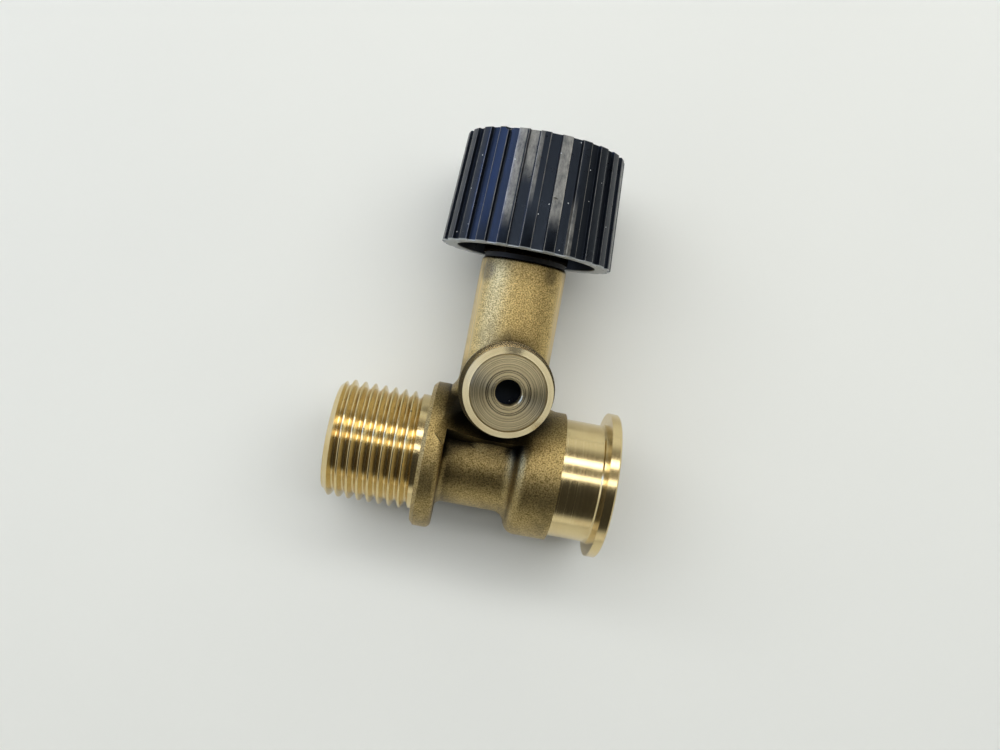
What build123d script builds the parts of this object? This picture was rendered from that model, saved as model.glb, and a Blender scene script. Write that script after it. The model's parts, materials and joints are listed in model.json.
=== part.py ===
"""Boiler filling valve: a forged brass tee with a rising spindle, a ribbed knob and a non-return valve.

Frame, in millimetres: X along the run from the threaded inlet to the clip flange, Y along the stem towards
the knob, Z along the side boss. The origin is where the run and stem axes cross.
"""
import os
from math import pi

from build123d import *

# Inlet: G 1/2 outside thread, drawn at its major diameter
thread_diameter = 20.955
thread_pitch = 1.814
thread_depth_share = 0.6403
thread_length = 14.5
land_width = 1.6
land_diameter = 20.5

# Run of the tee, outside
collar_diameter = 25.9
collar_width = 3.7
collar_offset = 8.0
collar_edge_radius = 1.0
collar_chamfer = 0.7
waist_diameter = 16.0
waist_fillet = 1.2
waist_length = 10.5
shoulder_length = 4.3
barrel_diameter = 22.8
barrel_length = 5.5
spigot_diameter = 21.0
spigot_length = 7.65
step_width = 0.8
step_height = 0.25
flange_diameter = 25.8
flange_thickness = 1.75
flange_chamfer = 0.25

# Run of the tee, inside
run_bore_diameter = 11.5
inlet_bore_diameter = 14.5
inlet_bore_depth = 15.5
socket_diameter = 16.2
socket_depth = 10.0
socket_chamfer = 0.8
drill_step = 1.2

# Neck and the forged webs that tie it to the run
neck_base_diameter = 15.7
neck_top_diameter = 15.1
neck_height = 36.3
neck_edge_radius = 0.6
neck_fillet = 3.0
web_front_angle = 60.0
web_back_angle = 46.0

# Side boss
boss_offset = 0.5
boss_height = 14.4
boss_root_diameter = 15.9
boss_shoulder = 13.2
boss_diameter = 14.3
boss_reach = 22.0
boss_chamfer_length = 1.4
relief_floor = 8.1
relief_slope = 0.62
relief_reach = 6.0

# Seat and stem chamber
chamber_diameter = 10.4
seat_floor = 9.0
seat_hole_diameter = 6.0
seat_lip_diameter = 8.0
seat_lip_height = 0.8
seat_gap = 0.05

# Jumper with its washer and screw
washer_thickness = 2.0
washer_diameter = 8.8
washer_hole_diameter = 2.4
jumper_thickness = 1.8
jumper_diameter = 9.2
jumper_stem_diameter = 3.4
jumper_stem_length = 5.0
washer_screw_head_diameter = 4.4
washer_screw_head_height = 1.2
washer_screw_diameter = 2.2
washer_screw_length = 3.6

# Spindle
spindle_thread_diameter = 8.0
spindle_nose_diameter = 7.0
spindle_nose_length = 3.2
spindle_engagement = 3.45
journal_diameter = 6.0
journal_stand = 1.05
square_width = 4.4
o_ring_section = 1.2
o_ring_first = 4.6
o_ring_spacing = 2.6
spindle_lift = 2.5

# Gland nut
gland_thread_diameter = 12.0
gland_depth = 10.0
gland_hex_width = 13.0
gland_head_height = 4.2
gland_chamfer = 0.5
gland_washer_thickness = 0.8
gland_washer_diameter = 14.4
gland_stop_margin = 0.3

# Knob
knob_base_diameter = 30.3
knob_top_diameter = 28.0
knob_height = 19.3
knob_rim_gap = 1.2
knob_wall = 2.75
knob_roof = 3.6
knob_rib_count = 24
knob_rib_phase = 3.75
knob_groove_depth = 0.65
knob_groove_share = 0.48
knob_edge_radius = 0.3
knob_dish_diameter = 20.0
knob_dish_depth = 0.7
knob_hub_diameter = 10.0
knob_hub_stand = 0.65
knob_web = 1.6
knob_pocket_depth = 3.4

# Knob screw
screw_diameter = 3.0
screw_length = 8.0
screw_head_diameter = 5.6
screw_head_height = 1.6
screw_slot_width = 0.9
screw_slot_depth = 0.8
screw_washer_diameter = 7.0
screw_washer_thickness = 0.6

# Non-return valve in the boss
passage_diameter = 4.5
check_seat = 8.0
check_bore_diameter = 10.0
check_seal_diameter = 8.2
check_seal_thickness = 1.2
check_seal_hole_diameter = 2.2
poppet_thickness = 1.4
poppet_wing_length = 3.4
poppet_wing_thickness = 1.2
poppet_wing_count = 3
spring_wire_diameter = 0.6
spring_turns = 5
spring_diameter = 6.0
insert_length = 5.0
insert_diameter = 12.2
insert_hole_diameter = 4.2
insert_edge_chamfer = 0.2
insert_o_ring_section = 1.4
spring_pocket_depth = 1.0

# Clearances
thread_clearance = 0.05
running_clearance = 0.05
seat_clearance = 0.03
stem_clearance = 0.1

# Places along the run
collar_inner = -collar_offset
collar_outer = collar_inner - collar_width
thread_inner = collar_outer - land_width
inlet_end = thread_inner - thread_length
shoulder_start = collar_inner + waist_length
shoulder_end = shoulder_start + shoulder_length
barrel_end = shoulder_end + barrel_length
flange_start = barrel_end + spigot_length
outlet_end = flange_start + flange_thickness
thread_depth = thread_depth_share * thread_pitch
thread_root_radius = thread_diameter / 2 - thread_depth

# Places along the stem
seat_top = seat_floor + seat_lip_height
washer_bottom = seat_top + seat_gap
washer_top = washer_bottom + washer_thickness
jumper_top = washer_top + jumper_thickness
spindle_bottom = jumper_top + stem_clearance
spindle_thread_bottom = spindle_bottom + spindle_nose_length
gland_bottom = neck_height - gland_depth
gland_seat = neck_height + gland_washer_thickness
gland_top = gland_seat + gland_head_height
spindle_thread_top = gland_bottom + spindle_engagement
journal_top = gland_top + journal_stand
gland_stop = spindle_thread_top + spindle_lift + gland_stop_margin
knob_bottom = neck_height + knob_rim_gap
knob_top = knob_bottom + knob_height
knob_web_top = knob_top - knob_pocket_depth
knob_web_bottom = knob_web_top - knob_web
knob_hub_bottom = journal_top + knob_hub_stand
spindle_top = knob_web_bottom - stem_clearance
knob_cavity_roof = knob_top - knob_roof
screw_seat = knob_web_top + screw_washer_thickness

# Places along the boss
check_seal_bottom = check_seat + seat_gap
check_seal_top = check_seal_bottom + check_seal_thickness
poppet_top = check_seal_top + poppet_thickness
insert_bottom = boss_reach - insert_length
spring_top = insert_bottom + spring_pocket_depth

# Working planes: local x is the radius and local y runs along the axis, or the sketch lies across the stem
stem_section = Plane.XY
boss_section = Plane(origin=(boss_offset, boss_height, 0), x_dir=(1, 0, 0), z_dir=(0, -1, 0))
boss_axis = Axis((boss_offset, boss_height, 0), (0, 0, 1))


def across_stem(height):
    """Plane square to the stem at a height, facing the knob."""
    return Plane(origin=(0, height, 0), x_dir=(1, 0, 0), z_dir=(0, 1, 0))


def across_boss(height):
    """Plane square to the boss axis at a height, facing out of the boss."""
    return Plane(origin=(boss_offset, boss_height, height), x_dir=(1, 0, 0), z_dir=(0, 0, 1))


def turn(points, plane, axis, mode=Mode.ADD):
    """Revolve a closed outline of straight edges about an axis."""
    with BuildSketch(plane) as outline:
        with BuildLine():
            Polyline(*points, close=True)
        make_face()
    revolve(outline.sketch, axis=axis, mode=mode)


def turn_ring(inner, outer, low, high, plane, axis, mode=Mode.ADD):
    """Revolve a rectangle between two radii and two heights."""
    turn([(inner, low), (outer, low), (outer, high), (inner, high)], plane, axis, mode)


def nearest_vertex(sketch, x, y):
    """Corner of a sketch that lies nearest to a point."""
    return sketch.vertices().sort_by_distance((x, y, 0))[0]


# Valve body: the forged and turned outside first
collar_radius = collar_diameter / 2
waist_radius = waist_diameter / 2
barrel_radius = barrel_diameter / 2
spigot_radius = spigot_diameter / 2
thread_radius = thread_diameter / 2
land_radius = land_diameter / 2
shoulder_middle = ((shoulder_start + shoulder_end) / 2, (waist_radius + barrel_radius) / 2)
step_start = flange_start - step_width
step_radius = spigot_radius + step_height
neck_base_radius = neck_base_diameter / 2
neck_top_radius = neck_top_diameter / 2
boss_root_radius = boss_root_diameter / 2
boss_radius = boss_diameter / 2
insert_radius = insert_diameter / 2
relief_outer = boss_root_radius + relief_reach
web_start = collar_inner - collar_edge_radius
run_bore_radius = run_bore_diameter / 2
inlet_bore_radius = inlet_bore_diameter / 2
socket_radius = socket_diameter / 2
chamber_radius = chamber_diameter / 2
gland_bore_radius = gland_thread_diameter / 2 + thread_clearance
check_bore_radius = check_bore_diameter / 2
gland_nut_thread_radius = spindle_thread_diameter / 2 + thread_clearance
journal_bore_radius = journal_diameter / 2 + running_clearance
thread_entry = (spindle_thread_diameter - spindle_nose_diameter) / 2
stem_socket_radius = jumper_stem_diameter / 2 + stem_clearance
stem_socket_top = jumper_top + jumper_stem_length + stem_clearance
screw_pocket_radius = screw_washer_diameter / 2 + stem_clearance
wing_reach = check_bore_radius - running_clearance
wing_inner = spring_diameter / 2 + stem_clearance
wing_width = check_bore_radius - wing_inner
wing_middle_radius = wing_inner + wing_width / 2
spring_mean_radius = (spring_diameter - spring_wire_diameter) / 2
spring_pocket_radius = spring_diameter / 2 + stem_clearance
spring_height = spring_top - poppet_top - spring_wire_diameter - 2 * seat_clearance
spring_pitch = spring_height / spring_turns

with BuildPart() as valve_body:
    with BuildSketch(Plane.XY) as run_outline:
        with BuildLine():
            Polyline(
                (inlet_end, 0),
                (inlet_end, thread_root_radius),
                (inlet_end + thread_depth, thread_radius),
                (thread_inner, thread_radius),
                (thread_inner, land_radius),
                (collar_outer, land_radius),
                (collar_outer, collar_radius),
                (collar_inner, collar_radius),
                (collar_inner, waist_radius),
                (shoulder_start, waist_radius),
            )
            TangentArc((shoulder_start, waist_radius), shoulder_middle, tangent=(1, 0))
            TangentArc((shoulder_end, barrel_radius), shoulder_middle, tangent=(-1, 0))
            Polyline(
                (shoulder_end, barrel_radius),
                (barrel_end, barrel_radius),
                (barrel_end, spigot_radius),
                (step_start, spigot_radius),
                (step_start + step_height, step_radius),
                (flange_start, step_radius),
                (flange_start, flange_diameter / 2),
                (outlet_end, flange_diameter / 2),
                (outlet_end, 0),
                (inlet_end, 0),
            )
        make_face()
        chamfer(nearest_vertex(run_outline, collar_outer, collar_radius), collar_chamfer)
        fillet(nearest_vertex(run_outline, collar_inner, collar_radius), collar_edge_radius)
        fillet(nearest_vertex(run_outline, collar_inner, waist_radius), waist_fillet)
        chamfer(nearest_vertex(run_outline, outlet_end, flange_diameter / 2), flange_chamfer)
    revolve(axis=Axis.X)

    # Forged web: a sector whose surface runs from the collar's rim into the barrel's
    with BuildSketch(Plane.XY.rotated((-web_back_angle, 0, 0))):
        with BuildLine():
            Polyline(
                (shoulder_end, barrel_radius),
                (shoulder_end, 0),
                (web_start, 0),
                (web_start, collar_radius),
            )
            TangentArc((shoulder_end, barrel_radius), (web_start, collar_radius), tangent=(-1, 0))
        make_face()
    revolve(axis=Axis.X, revolution_arc=web_front_angle + web_back_angle)

    # Neck, with a little draft and an eased top edge, blended into the web
    with BuildSketch(stem_section) as neck_outline:
        with BuildLine():
            Polyline(
                (0, 0),
                (neck_base_radius, 0),
                (neck_top_radius, neck_height),
                (0, neck_height),
                close=True,
            )
        make_face()
        fillet(nearest_vertex(neck_outline, neck_top_radius, neck_height), neck_edge_radius)
    revolve(axis=Axis.Y)
    neck_seam = valve_body.edges().filter_by(GeomType.BSPLINE)
    fillet(neck_seam.filter_by_position(Axis.Y, waist_radius, collar_radius), neck_fillet)

    # Turned relief round the boss, then the boss itself
    turn(
        [
            (boss_root_radius, relief_floor),
            (relief_outer, relief_floor + relief_slope * relief_reach),
            (relief_outer, boss_reach),
            (boss_root_radius, boss_reach),
        ],
        boss_section, boss_axis, Mode.SUBTRACT,
    )
    turn(
        [
            (0, 0),
            (boss_root_radius, 0),
            (boss_root_radius, boss_shoulder),
            (boss_radius, boss_shoulder),
            (boss_radius, boss_reach - boss_chamfer_length),
            (insert_radius, boss_reach),
            (0, boss_reach),
        ],
        boss_section, boss_axis,
    )

    # Run bore, inlet counterbore and outlet socket
    turn(
        [
            (inlet_end, 0),
            (inlet_end, inlet_bore_radius),
            (inlet_end + inlet_bore_depth, inlet_bore_radius),
            (inlet_end + inlet_bore_depth + drill_step, run_bore_radius),
            (outlet_end - socket_depth - drill_step, run_bore_radius),
            (outlet_end - socket_depth, socket_radius),
            (outlet_end - socket_chamfer, socket_radius),
            (outlet_end, socket_radius + socket_chamfer),
            (outlet_end, 0),
        ],
        Plane.XY, Axis.X, Mode.SUBTRACT,
    )

    # Stem chamber with a raised seat, and the wider thread for the gland nut
    turn(
        [
            (0, 0),
            (seat_hole_diameter / 2, 0),
            (seat_hole_diameter / 2, seat_top),
            (seat_lip_diameter / 2, seat_top),
            (seat_lip_diameter / 2, seat_floor),
            (chamber_radius, seat_floor),
            (chamber_radius, gland_bottom - gland_chamfer),
            (gland_bore_radius, gland_bottom - gland_chamfer),
            (gland_bore_radius, neck_height),
            (0, neck_height),
        ],
        stem_section, Axis.Y, Mode.SUBTRACT,
    )

    # Passage from the chamber, the non-return bore and the insert's seat
    turn(
        [
            (0, 0),
            (passage_diameter / 2, 0),
            (passage_diameter / 2, check_seat),
            (check_bore_radius, check_seat),
            (check_bore_radius, insert_bottom),
            (insert_radius, insert_bottom),
            (insert_radius, boss_reach),
            (0, boss_reach),
        ],
        boss_section, boss_axis, Mode.SUBTRACT,
    )
valve_body.part.label = "valve_body"

# Gland nut: threaded shank, hexagon head, thread for the spindle and a plain bore for its journal
with BuildPart() as gland_nut:
    turn_ring(0, gland_thread_diameter / 2, gland_bottom, gland_seat, stem_section, Axis.Y)
    with BuildSketch(across_stem(gland_seat)):
        RegularPolygon(radius=gland_hex_width / 2, side_count=6, major_radius=False)
    extrude(amount=gland_head_height)
    chamfer(gland_nut.faces().sort_by(Axis.Y)[-1].edges(), gland_chamfer)
    turn(
        [
            (0, gland_bottom),
            (gland_nut_thread_radius, gland_bottom),
            (gland_nut_thread_radius, gland_stop),
            (journal_bore_radius, gland_stop),
            (journal_bore_radius, gland_top),
            (0, gland_top),
        ],
        stem_section, Axis.Y, Mode.SUBTRACT,
    )
gland_nut.part.label = "gland_nut"

with BuildPart() as gland_washer:
    turn_ring(gland_bore_radius, gland_washer_diameter / 2, neck_height, gland_seat, stem_section, Axis.Y)
gland_washer.part.label = "gland_washer"

# Spindle: nose with a socket for the jumper, thread, grooved journal and a square with a tapped hole
groove_heights = [spindle_thread_top + o_ring_first, spindle_thread_top + o_ring_first + o_ring_spacing]
groove_bottom_radius = journal_bore_radius - seat_clearance - o_ring_section
groove_half_width = o_ring_section / 2 + running_clearance

with BuildPart() as spindle:
    turn(
        [
            (0, spindle_bottom),
            (spindle_nose_diameter / 2, spindle_bottom),
            (spindle_nose_diameter / 2, spindle_thread_bottom),
            (spindle_thread_diameter / 2, spindle_thread_bottom + thread_entry),
            (spindle_thread_diameter / 2, spindle_thread_top),
            (journal_diameter / 2, spindle_thread_top),
            (journal_diameter / 2, journal_top),
            (0, journal_top),
        ],
        stem_section, Axis.Y,
    )
    with BuildSketch(across_stem(journal_top)):
        Rectangle(square_width, square_width)
    extrude(amount=spindle_top - journal_top)
    for groove_height in groove_heights:
        turn_ring(
            groove_bottom_radius, journal_diameter,
            groove_height - groove_half_width, groove_height + groove_half_width,
            stem_section, Axis.Y, Mode.SUBTRACT,
        )
    turn_ring(0, stem_socket_radius, spindle_bottom, stem_socket_top, stem_section, Axis.Y, Mode.SUBTRACT)
    turn_ring(
        0, screw_diameter / 2, screw_seat - screw_length - stem_clearance, spindle_top,
        stem_section, Axis.Y, Mode.SUBTRACT,
    )
spindle.part.label = "spindle"

o_rings = []
for ring_name, groove_height in zip(("spindle_o_ring_lower", "spindle_o_ring_upper"), groove_heights):
    with BuildPart() as o_ring:
        with BuildSketch(stem_section):
            with Locations((groove_bottom_radius + o_ring_section / 2, groove_height)):
                Circle(o_ring_section / 2)
        revolve(axis=Axis.Y)
    o_ring.part.label = ring_name
    o_rings.append(o_ring.part)

# Jumper, its rubber washer and the screw that holds it
with BuildPart() as jumper:
    turn(
        [
            (0, washer_top),
            (jumper_diameter / 2, washer_top),
            (jumper_diameter / 2, jumper_top),
            (jumper_stem_diameter / 2, jumper_top),
            (jumper_stem_diameter / 2, jumper_top + jumper_stem_length),
            (0, jumper_top + jumper_stem_length),
        ],
        stem_section, Axis.Y,
    )
    turn_ring(
        0, washer_screw_diameter / 2 + seat_clearance,
        washer_top, washer_bottom + washer_screw_length + stem_clearance,
        stem_section, Axis.Y, Mode.SUBTRACT,
    )
jumper.part.label = "jumper"

with BuildPart() as seat_washer:
    turn_ring(washer_hole_diameter / 2, washer_diameter / 2, washer_bottom, washer_top, stem_section, Axis.Y)
seat_washer.part.label = "seat_washer"

with BuildPart() as washer_screw:
    turn(
        [
            (0, washer_bottom - washer_screw_head_height),
            (washer_screw_head_diameter / 2, washer_bottom - washer_screw_head_height),
            (washer_screw_head_diameter / 2, washer_bottom),
            (washer_screw_diameter / 2, washer_bottom),
            (washer_screw_diameter / 2, washer_bottom + washer_screw_length),
            (0, washer_bottom + washer_screw_length),
        ],
        stem_section, Axis.Y,
    )
washer_screw.part.label = "washer_screw"


def ribbed_outline(radius):
    """Round outline with the knob's grooves cut into it."""
    Circle(radius)
    groove_width = 2 * pi * radius / knob_rib_count * knob_groove_share
    with PolarLocations(radius, knob_rib_count, start_angle=knob_rib_phase):
        Rectangle(2 * knob_groove_depth, groove_width, mode=Mode.SUBTRACT)


# Knob: ribbed tapered skirt with a rounded top edge, hollow below, with a square socket in its hub
with BuildPart() as knob:
    with BuildSketch(across_stem(knob_bottom)):
        ribbed_outline(knob_base_diameter / 2)
    with BuildSketch(across_stem(knob_top)):
        ribbed_outline(knob_top_diameter / 2)
    loft(ruled=True)
    with BuildSketch(stem_section) as knob_outline:
        with BuildLine():
            Polyline(
                (0, knob_bottom),
                (knob_base_diameter / 2, knob_bottom),
                (knob_top_diameter / 2, knob_top),
                (0, knob_top),
                close=True,
            )
        make_face()
        fillet(nearest_vertex(knob_outline, knob_top_diameter / 2, knob_top), knob_edge_radius)
    revolve(axis=Axis.Y, mode=Mode.INTERSECT)
    turn(
        [
            (0, knob_bottom),
            (knob_base_diameter / 2 - knob_wall, knob_bottom),
            (knob_top_diameter / 2 - knob_wall, knob_cavity_roof),
            (0, knob_cavity_roof),
        ],
        stem_section, Axis.Y, Mode.SUBTRACT,
    )
    turn_ring(0, knob_hub_diameter / 2, knob_hub_bottom, knob_cavity_roof, stem_section, Axis.Y)
    turn_ring(
        0, knob_dish_diameter / 2, knob_top - knob_dish_depth, knob_top,
        stem_section, Axis.Y, Mode.SUBTRACT,
    )
    turn_ring(0, screw_pocket_radius, knob_web_top, knob_top, stem_section, Axis.Y, Mode.SUBTRACT)
    turn_ring(
        0, screw_diameter / 2 + stem_clearance, knob_web_bottom, knob_web_top,
        stem_section, Axis.Y, Mode.SUBTRACT,
    )
    with BuildSketch(across_stem(knob_hub_bottom)):
        Rectangle(square_width + 2 * seat_clearance, square_width + 2 * seat_clearance)
    extrude(amount=knob_web_bottom - knob_hub_bottom, mode=Mode.SUBTRACT)
knob.part.label = "knob"

with BuildPart() as knob_screw_washer:
    turn_ring(
        screw_diameter / 2 + stem_clearance, screw_washer_diameter / 2, knob_web_top, screw_seat,
        stem_section, Axis.Y,
    )
knob_screw_washer.part.label = "knob_screw_washer"

with BuildPart() as knob_screw:
    turn(
        [
            (0, screw_seat - screw_length),
            (screw_diameter / 2 - seat_clearance, screw_seat - screw_length),
            (screw_diameter / 2 - seat_clearance, screw_seat),
            (screw_head_diameter / 2, screw_seat),
            (screw_head_diameter / 2, screw_seat + screw_head_height),
            (0, screw_seat + screw_head_height),
        ],
        stem_section, Axis.Y,
    )
    with BuildSketch(across_stem(screw_seat + screw_head_height)):
        Rectangle(screw_head_diameter, screw_slot_width)
    extrude(amount=-screw_slot_depth, mode=Mode.SUBTRACT)
knob_screw.part.label = "knob_screw"

# Non-return valve: winged poppet, its seal, the spring and the pressed-in insert
with BuildPart() as check_poppet:
    turn_ring(0, check_seal_diameter / 2, check_seal_top, poppet_top, boss_section, boss_axis)
    turn_ring(0, check_seal_hole_diameter / 2, check_seal_bottom, check_seal_top, boss_section, boss_axis)
    with BuildSketch(across_boss(check_seal_top)):
        with PolarLocations(wing_middle_radius, poppet_wing_count):
            Rectangle(wing_width, poppet_wing_thickness)
    extrude(amount=poppet_thickness + poppet_wing_length)
    turn_ring(
        wing_reach, wing_reach + wing_width, check_seal_top, poppet_top + poppet_wing_length,
        boss_section, boss_axis, Mode.SUBTRACT,
    )
check_poppet.part.label = "check_poppet"

with BuildPart() as check_seal:
    turn_ring(
        check_seal_hole_diameter / 2 + seat_clearance, check_seal_diameter / 2,
        check_seal_bottom, check_seal_top, boss_section, boss_axis,
    )
check_seal.part.label = "check_seal"

with BuildPart() as check_spring:
    with BuildLine(across_boss(poppet_top + spring_wire_diameter / 2 + seat_clearance)) as spring_line:
        Helix(pitch=spring_pitch, height=spring_height, radius=spring_mean_radius)
    with BuildSketch(Plane(origin=spring_line.line @ 0, z_dir=spring_line.line % 0)):
        Circle(spring_wire_diameter / 2)
    sweep()
check_spring.part.label = "check_spring"

insert_groove_height = insert_bottom + insert_length / 2
insert_groove_radius = insert_radius - insert_o_ring_section
insert_groove_half = insert_o_ring_section / 2 + running_clearance

with BuildPart() as outlet_insert:
    turn(
        [
            (insert_hole_diameter / 2, spring_top),
            (spring_pocket_radius, spring_top),
            (spring_pocket_radius, insert_bottom),
            (insert_radius - seat_clearance, insert_bottom),
            (insert_radius - seat_clearance, boss_reach - insert_edge_chamfer),
            (insert_radius - seat_clearance - insert_edge_chamfer, boss_reach),
            (insert_hole_diameter / 2 + insert_edge_chamfer, boss_reach),
            (insert_hole_diameter / 2, boss_reach - insert_edge_chamfer),
        ],
        boss_section, boss_axis,
    )
    turn_ring(
        insert_groove_radius, insert_diameter,
        insert_groove_height - insert_groove_half, insert_groove_height + insert_groove_half,
        boss_section, boss_axis, Mode.SUBTRACT,
    )
outlet_insert.part.label = "outlet_insert"

with BuildPart() as insert_o_ring:
    with BuildSketch(boss_section):
        with Locations((insert_groove_radius + insert_o_ring_section / 2, insert_groove_height)):
            Circle(insert_o_ring_section / 2)
    revolve(axis=boss_axis)
insert_o_ring.part.label = "insert_o_ring"

# One file for each piece
pieces = [
    valve_body.part, gland_nut.part, gland_washer.part, spindle.part, *o_rings,
    jumper.part, seat_washer.part, washer_screw.part, knob.part, knob_screw.part, knob_screw_washer.part,
    check_poppet.part, check_seal.part, check_spring.part, outlet_insert.part, insert_o_ring.part,
]
os.makedirs("parts", exist_ok=True)
for piece in pieces:
    export_step(piece, f"parts/{piece.label}.step")
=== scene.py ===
"""Boiler filling valve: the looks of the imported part, its table top, light and camera.

Places are in metres in the part's own frame: X along the run from the threaded inlet to the clip flange,
Y along the stem towards the knob, Z along the side boss. The valve lies on its collar, flange and knob.
"""
import json
import logging
import math
from contextlib import contextmanager
from dataclasses import dataclass
from enum import Enum
from typing import Any, Callable, Iterator, Sequence

import bmesh
import bpy
from mathutils import Matrix, Vector


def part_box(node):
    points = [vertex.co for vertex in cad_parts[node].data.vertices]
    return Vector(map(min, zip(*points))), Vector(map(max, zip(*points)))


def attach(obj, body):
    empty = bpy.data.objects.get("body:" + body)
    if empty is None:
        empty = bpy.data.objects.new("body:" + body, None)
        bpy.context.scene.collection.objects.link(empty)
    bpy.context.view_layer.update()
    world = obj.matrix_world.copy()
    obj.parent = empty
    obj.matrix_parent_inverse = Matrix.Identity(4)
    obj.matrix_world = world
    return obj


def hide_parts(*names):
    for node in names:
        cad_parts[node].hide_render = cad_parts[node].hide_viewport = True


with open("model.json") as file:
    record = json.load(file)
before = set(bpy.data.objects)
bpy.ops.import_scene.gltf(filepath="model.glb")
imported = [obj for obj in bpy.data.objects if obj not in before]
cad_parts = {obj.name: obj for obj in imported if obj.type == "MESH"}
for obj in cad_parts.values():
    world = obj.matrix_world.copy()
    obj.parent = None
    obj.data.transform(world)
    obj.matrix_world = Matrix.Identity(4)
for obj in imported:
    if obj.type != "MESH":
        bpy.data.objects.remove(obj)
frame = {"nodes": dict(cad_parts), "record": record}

LOG = logging.getLogger("filling_valve")
MM = 0.001
WELD_DISTANCE = 0.001 * MM
SMOOTH_ANGLE = math.radians(28)
# Nearly all of a noise pattern's values lie in this span
NOISE_SPAN = (0.3, 0.7)
# Part of the knob's rib pitch that is groove, to each side of the groove's middle
GROOVE_SHARE = 0.25

Span = tuple[float, float]
Outline = Sequence[Span]
Colour = tuple[float, float, float, float]
Tree = bpy.types.NodeTree
Socket = bpy.types.NodeSocket


class Element(Enum):
    """Kind of mesh element that an operator acts on."""

    VERTEX = "VERT"
    EDGE = "EDGE"
    FACE = "FACE"


class TurnAxis(Enum):
    """Axis that a surface was turned about, as a unit vector of the part's frame."""

    RUN = (1.0, 0.0, 0.0)
    STEM = (0.0, 1.0, 0.0)
    BOSS = (0.0, 0.0, 1.0)


class Cut(Enum):
    """How a boolean joins two solids."""

    AWAY = "DIFFERENCE"
    COMMON = "INTERSECT"


def linear(hex_colour: str) -> Colour:
    """Turn an sRGB hex colour into linear light.

    Args:
        hex_colour: six hex digits, as in "C8A25A".

    Returns:
        Red, green, blue and an alpha of 1.
    """
    shares = [int(hex_colour[i:i + 2], 16) / 255 for i in (0, 2, 4)]
    red, green, blue = (s / 12.92 if s <= 0.04045 else ((s + 0.055) / 1.055) ** 2.4 for s in shares)
    return red, green, blue, 1.0


def add_node(tree: Tree, kind: str, sockets: dict[str | int, Any], **settings: Any) -> bpy.types.Node:
    """Add a node with its settings and links.

    Args:
        tree: tree that the node goes into.
        kind: type name of the node.
        sockets: for each input, a value or the output that feeds it.
        settings: properties of the node; "stops" holds a colour ramp's places and colours.

    Returns:
        The new node.
    """
    new = tree.nodes.new(kind)
    stops = settings.pop("stops", [])
    for place, colour in stops:
        new.color_ramp.elements.new(place).color = colour
    if stops:
        new.color_ramp.elements.remove(new.color_ramp.elements[-1])
        new.color_ramp.elements.remove(new.color_ramp.elements[0])
    for name, value in settings.items():
        setattr(new, name, value)
    for name, value in sockets.items():
        if isinstance(value, Socket):
            tree.links.new(value, new.inputs[name])
        else:
            new.inputs[name].default_value = value
    return new


def make_active(obj: bpy.types.Object) -> None:
    """Leave one object selected and active.

    Args:
        obj: the object.
    """
    bpy.ops.object.select_all(action="DESELECT")
    obj.select_set(True)
    bpy.context.view_layer.objects.active = obj


@contextmanager
def editing(obj: bpy.types.Object, element: Element) -> Iterator[bmesh.types.BMesh]:
    """Open an object's mesh in edit mode with nothing selected.

    Args:
        obj: object to edit.
        element: kind of element that is selected.

    Yields:
        The open mesh, for choosing elements by their place.
    """
    make_active(obj)
    bpy.ops.object.mode_set(mode="EDIT")
    bpy.ops.mesh.select_mode(type=element.value)
    bpy.ops.mesh.select_all(action="DESELECT")
    yield bmesh.from_edit_mesh(obj.data)
    bpy.ops.object.mode_set(mode="OBJECT")


def pick(obj: bpy.types.Object, elements: Sequence[Any], test: Callable[[Any], bool]) -> None:
    """Select the elements of an open mesh that pass a test.

    Args:
        obj: object in edit mode.
        elements: vertices, edges or faces of its open mesh.
        test: says whether an element is wanted.
    """
    chosen = [e for e in elements if test(e)]
    for element in chosen:
        element.select_set(True)
    bmesh.update_edit_mesh(obj.data)


def settle(obj: bpy.types.Object) -> None:
    """Put an object's place into its mesh."""
    make_active(obj)
    bpy.ops.object.transform_apply(location=True, rotation=True, scale=True)


def heal(obj: bpy.types.Object) -> None:
    """Merge doubled points and turn all faces outwards.

    Args:
        obj: the mesh object.
    """
    with editing(obj, Element.VERTEX):
        bpy.ops.mesh.select_all(action="SELECT")
        bpy.ops.mesh.remove_doubles(threshold=WELD_DISTANCE)
        bpy.ops.mesh.normals_make_consistent(inside=False)


def smooth(obj: bpy.types.Object) -> None:
    """Shade a piece smooth between its sharp edges."""
    make_active(obj)
    bpy.ops.object.shade_smooth_by_angle(angle=SMOOTH_ANGLE)


def combine(obj: bpy.types.Object, tool: bpy.types.Object, cut: Cut) -> None:
    """Cut one solid with another and remove the tool.

    Args:
        obj: solid that stays.
        tool: solid that is used up.
        cut: what is kept.
    """
    make_active(obj)
    boolean = obj.modifiers.new("cut", "BOOLEAN")
    boolean.operation = cut.value
    boolean.solver = "EXACT"
    boolean.object = tool
    bpy.ops.object.modifier_apply(modifier=boolean.name)
    bpy.data.objects.remove(tool)


def merged_copy(node: str, name: str) -> bpy.types.Object:
    """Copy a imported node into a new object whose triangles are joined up.

    Args:
        node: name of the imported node.
        name: name of the new piece.

    Returns:
        The new object.
    """
    copy = bpy.data.objects.new(name, frame["nodes"][node].data.copy())
    bpy.context.scene.collection.objects.link(copy)
    make_active(copy)
    bpy.ops.mesh.customdata_custom_splitnormals_clear()
    with editing(copy, Element.EDGE):
        bpy.ops.mesh.select_all(action="SELECT")
        bpy.ops.mesh.remove_doubles(threshold=WELD_DISTANCE)
        bpy.ops.mesh.mark_sharp(clear=True)
    copy.data.materials.clear()
    return copy


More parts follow.
